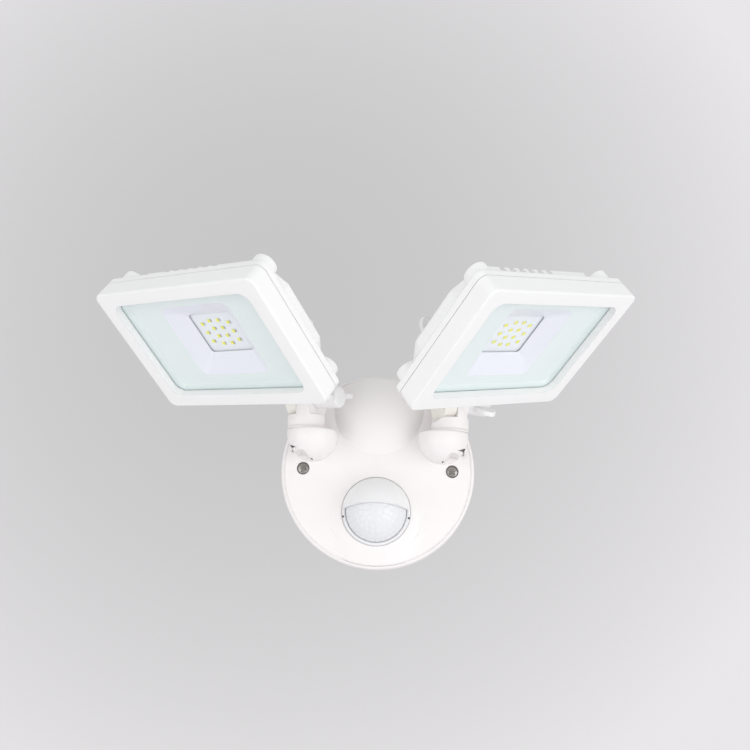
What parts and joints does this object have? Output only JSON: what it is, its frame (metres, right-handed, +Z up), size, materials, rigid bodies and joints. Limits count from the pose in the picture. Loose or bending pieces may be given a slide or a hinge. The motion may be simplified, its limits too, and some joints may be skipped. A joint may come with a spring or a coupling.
{
  "type": "motion sensor security light",
  "caption": "Wall floodlight with tilting LED heads on double-knuckle arms and a motion sensor in its round base.",
  "frame": {"origin": "centre of the round base on the wall, midway between the fixing slots", "axes": "+X to the viewer's right, -Y out of the wall, +Z up; the wall is the plane y = 0"},
  "size_m": [0.3657, 0.1898, 0.2039],
  "materials": {
    "white_casting": "white powder coat, slight sheen",
    "ivory_link": "ivory powder coat, slight sheen",
    "white_knob": "moulded, glossy",
    "back_casting": "bare die casting",
    "steel": "bright zinc plated",
    "seal_rubber": "matte",
    "sensor_shell": "fine matte",
    "sensor_lens": "milky, translucent",
    "circuit_board": "green solder mask",
    "lamp_board": "white solder mask on aluminium",
    "phosphor": "yellow phosphor",
    "relay_case": "moulded",
    "capacitor_case": "shrink sleeve",
    "trimmer_case": "moulded",
    "dial_plastic": "moulded",
    "terminal_plastic": "moulded",
    "detector_can": "nickel plated",
    "lamp_glass": "toughened, with a white printed border",
    "reflector_white": "smooth white",
    "driver_case": "potted"
  },
  "bodies": {
    "base": {"front_cover": "white_casting", "back_plate": "back_casting", "wall_gasket": "seal_rubber", "cover_seal": "seal_rubber", "cable_grommet": "seal_rubber", "cover_screws": "steel", "control_board": "circuit_board", "relay": "relay_case", "capacitor": "capacitor_case", "trimmer_cases": "trimmer_case", "terminal_block": "terminal_plastic"},
    "sensor": {"sensor_ball": "sensor_shell", "fresnel_lens": "sensor_lens", "sensor_board": "circuit_board", "pyro_sensor": "detector_can"},
    "time_dial": {"time_dial": "dial_plastic"},
    "lux_dial": {"lux_dial": "dial_plastic"},
    "left_post": {"left_post": "white_casting", "left_post_nut": "steel"},
    "left_lower_link": {"left_link_lower": "ivory_link", "left_lower_bolt": "steel"},
    "left_upper_link": {"left_link_upper": "ivory_link"},
    "left_head": {"left_housing": "white_casting", "left_bezel": "white_casting", "left_glass": "lamp_glass", "left_glass_seal": "seal_rubber", "left_reflector": "reflector_white", "left_led_board": "lamp_board", "left_led_chips": "phosphor", "left_driver": "driver_case", "left_housing_screws": "steel", "left_upper_bolt": "steel"},
    "left_lower_wing": {"left_lower_wing_nut": "white_knob"},
    "left_upper_wing": {"left_upper_wing_nut": "white_knob"},
    "right_post": {"right_post": "white_casting", "right_post_nut": "steel"},
    "right_lower_link": {"right_link_lower": "ivory_link", "right_lower_bolt": "steel"},
    "right_upper_link": {"right_link_upper": "ivory_link", "right_upper_bolt": "steel"},
    "right_head": {"right_housing": "white_casting", "right_bezel": "white_casting", "right_glass": "lamp_glass", "right_glass_seal": "seal_rubber", "right_reflector": "reflector_white", "right_led_board": "lamp_board", "right_led_chips": "phosphor", "right_driver": "driver_case", "right_housing_screws": "steel"},
    "right_lower_wing": {"right_lower_wing_nut": "white_knob"},
    "right_upper_wing": {"right_upper_wing_nut": "white_knob"}
  },
  "joints": [
    {"name": "sensor_tilt", "type": "hinge", "parent": "base", "child": "sensor", "pos_m": [0, -0.022, -0.0295], "axis": [1, 0, 0], "range_deg": [-15, 15]},
    {"name": "time_turn", "type": "hinge", "parent": "base", "child": "time_dial", "pos_m": [-0.024, -0.0171, 0.012], "axis": [0, -1, 0], "range_deg": [0, 270]},
    {"name": "lux_turn", "type": "hinge", "parent": "base", "child": "lux_dial", "pos_m": [0.024, -0.0171, 0.012], "axis": [0, -1, 0], "range_deg": [0, 270]},
    {"name": "left_swivel", "type": "hinge", "parent": "base", "child": "left_post", "pos_m": [-0.0513, -0.04, 0.0277], "axis": [0, 0, 1], "range_deg": [-42.2, 7.8]},
    {"name": "left_lower_hinge", "type": "hinge", "parent": "left_post", "child": "left_lower_link", "pos_m": [-0.0513, -0.04, 0.048], "axis": [0.8678, -0.497, 0], "range_deg": [-18.2, 23.8]},
    {"name": "left_link_twist", "type": "hinge", "parent": "left_lower_link", "child": "left_upper_link", "pos_m": [-0.06179, -0.04896, 0.06575], "axis": [-0.2935, -0.5125, 0.807], "range_deg": [-22.2, 4.8]},
    {"name": "left_upper_hinge", "type": "hinge", "parent": "left_upper_link", "child": "left_head", "pos_m": [-0.07199, -0.05751, 0.08388], "axis": [0.8053, -0.5874, -0.0802], "range_deg": [-24.5, 13.5]},
    {"name": "left_lower_wing_turn", "type": "hinge", "parent": "left_lower_link", "child": "left_lower_wing", "pos_m": [-0.04319, -0.04465, 0.048], "axis": [0.8678, -0.497, 0], "continuous": true},
    {"name": "left_upper_wing_turn", "type": "hinge", "parent": "left_head", "child": "left_upper_wing", "pos_m": [-0.06446, -0.063, 0.08313], "axis": [0.8053, -0.5874, -0.0802], "continuous": true},
    {"name": "right_swivel", "type": "hinge", "parent": "base", "child": "right_post", "pos_m": [0.0513, -0.04, 0.0277], "axis": [0, 0, 1], "range_deg": [-1.3, 20.7]},
    {"name": "right_lower_hinge", "type": "hinge", "parent": "right_post", "child": "right_lower_link", "pos_m": [0.0513, -0.04, 0.048], "axis": [0.9317, 0.3633, 0], "range_deg": [-7.7, 24.3]},
    {"name": "right_link_twist", "type": "hinge", "parent": "right_lower_link", "child": "right_upper_link", "pos_m": [0.05043, -0.05058, 0.06782], "axis": [0.1575, -0.404, 0.9011], "range_deg": [-10.4, 19.6]},
    {"name": "right_upper_hinge", "type": "hinge", "parent": "right_upper_link", "child": "right_head", "pos_m": [0.05064, -0.06267, 0.08678], "axis": [0.7012, 0.6882, 0.186], "range_deg": [-29.3, 8.7]},
    {"name": "right_lower_wing_turn", "type": "hinge", "parent": "right_lower_link", "child": "right_lower_wing", "pos_m": [0.06001, -0.0366, 0.048], "axis": [0.9317, 0.3633, 0], "continuous": true},
    {"name": "right_upper_wing_turn", "type": "hinge", "parent": "right_upper_link", "child": "right_upper_wing", "pos_m": [0.04408, -0.0691, 0.08504], "axis": [-0.7012, -0.6882, -0.186], "continuous": true}
  ]
}
